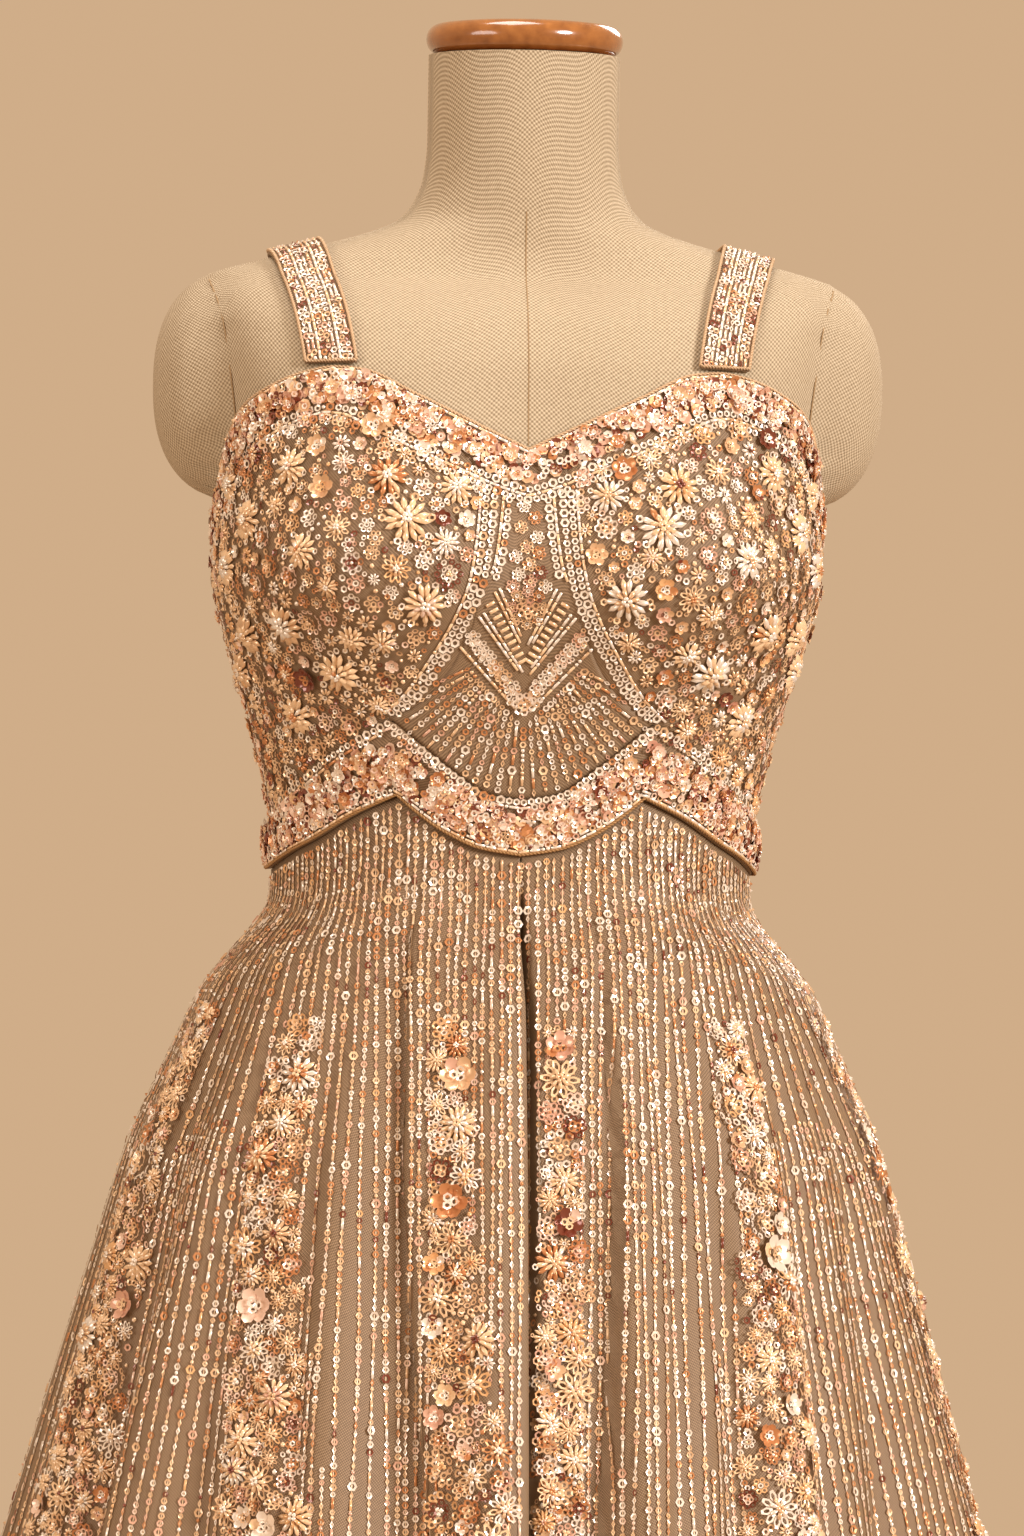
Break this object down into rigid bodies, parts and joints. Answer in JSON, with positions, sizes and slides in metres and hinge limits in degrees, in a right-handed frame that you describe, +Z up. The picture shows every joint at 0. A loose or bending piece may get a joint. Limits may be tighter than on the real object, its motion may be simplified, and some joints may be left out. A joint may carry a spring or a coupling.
{
  "type": "sharara set on dress form",
  "caption": "Beaded sleeveless flared kurti with a sweetheart bodice and front slit, over wide sharara trousers, on a limbless dress form with a stand.",
  "frame": {"origin": "centre of the stand base's underside, on the floor", "axes": "+Z up, the garment's front faces -Y, its left side as seen from the front is -X"},
  "size_m": [0.7521, 0.5519, 1.4799],
  "materials": {
    "beaded_net": "champagne net over lining, thick with sequins, bugles and beads",
    "sequin_trim": "close rose-gold and silver sequins and beads",
    "gold_piping": "twisted golden-brown cord",
    "satin": "soft champagne satin, plain",
    "linen_cover": "coarse beige linen weave",
    "varnished_wood": "glossy varnished honey-brown wood",
    "stand_metal": "satin dark paint"
  },
  "bodies": {
    "root": {"form_torso": "linen_cover", "form_arm_cap_left": "linen_cover", "form_arm_cap_right": "linen_cover", "neck_cap": "varnished_wood", "stand_base": "stand_metal", "stand_pole": "stand_metal", "bodice_centre_front": "beaded_net", "bodice_cup_left": "beaded_net", "bodice_cup_right": "beaded_net", "bodice_back_left": "beaded_net", "bodice_back_right": "beaded_net", "underbust_band": "sequin_trim", "band_piping": "gold_piping", "strap_left": "sequin_trim", "strap_right": "sequin_trim", "kurti_front_left": "beaded_net", "kurti_front_right": "beaded_net", "kurti_back_left": "beaded_net", "kurti_back_right": "beaded_net", "sharara_leg_left": "satin", "sharara_leg_right": "satin", "sharara_waistband": "satin"}
  },
  "joints": []
}
